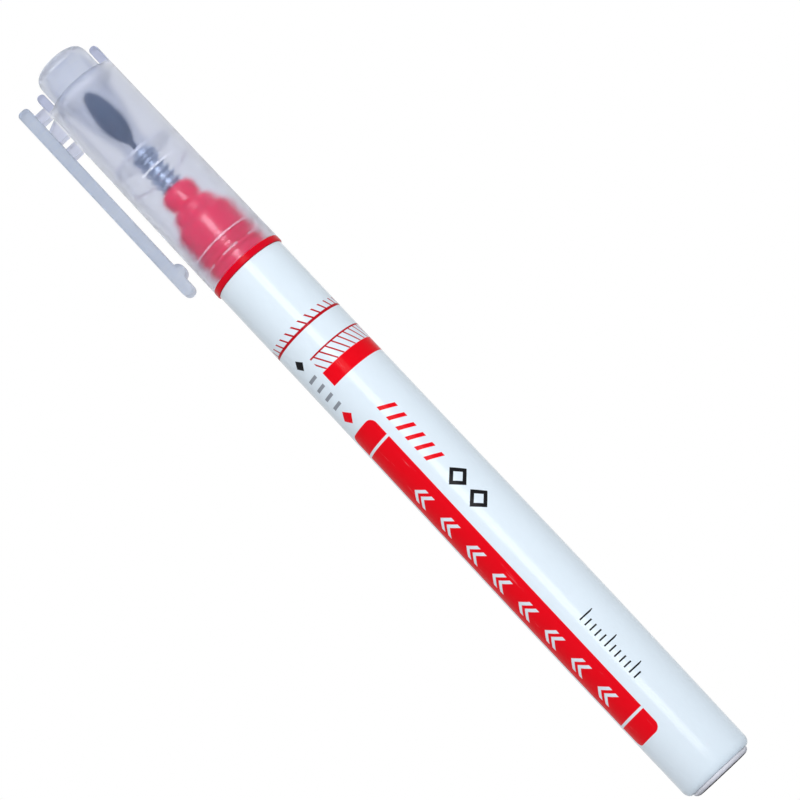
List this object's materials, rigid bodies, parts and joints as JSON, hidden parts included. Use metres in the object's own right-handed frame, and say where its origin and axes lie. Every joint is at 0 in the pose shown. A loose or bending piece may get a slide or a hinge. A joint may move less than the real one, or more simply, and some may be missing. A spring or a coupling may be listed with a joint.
{
  "type": "deep hole marker",
  "caption": "Capped long-nose marker for marking through deep holes: printed barrel, sprung steel guide tube with fibre nib, frosted clip cap with a conical nib seal.",
  "frame": {"origin": "centre of the flat tail face, on the marker's axis", "axes": "+Z runs along the marker's axis from the tail to the cap's crown; -X points to the clip; +Y completes the frame"},
  "size_m": [0.0156, 0.0122, 0.1409],
  "materials": {
    "white_plastic": "smooth white moulded plastic with a cool tone, printed in red and black",
    "plug_plastic": "smooth white moulded plastic",
    "red_plastic": "bright red moulded plastic",
    "steel": "drawn stainless steel",
    "nib_fibre": "dense inked fibre",
    "wick_fibre": "ink-soaked fibre bundle",
    "clear_film": "thin clear wrapping film",
    "frosted_plastic": "frosted translucent plastic with a bluish grey tone",
    "clear_plastic": "natural translucent plastic"
  },
  "bodies": {
    "marker": {"barrel": "white_plastic", "tail_plug": "plug_plastic", "ink_reservoir": "wick_fibre", "reservoir_film": "clear_film", "nose_section": "red_plastic", "tube_spring": "steel"},
    "tip": {"guide_tube": "steel", "spring_collar": "steel", "nib": "nib_fibre"},
    "cap": {"cap_shell": "frosted_plastic", "cap_crown": "frosted_plastic", "nib_seal": "clear_plastic"},
    "clip": {"clip_arm": "frosted_plastic"}
  },
  "joints": [
    {"name": "cap_pull", "type": "slide", "parent": "marker", "child": "cap", "axis": [0, 0, 1], "range_m": [0, 0.04]},
    {"name": "clip_flex", "type": "hinge", "parent": "cap", "child": "clip", "pos_m": [-0.00855, 0, 0.12815], "axis": [0, 1, 0], "range_deg": [0, 5], "stiffness_Nm_per_rad": 0.4},
    {"name": "tip_press", "type": "slide", "parent": "marker", "child": "tip", "axis": [0, 0, -1], "range_m": [0, 0.0015], "stiffness_N_per_m": 300, "deforming": ["tube_spring"]}
  ]
}
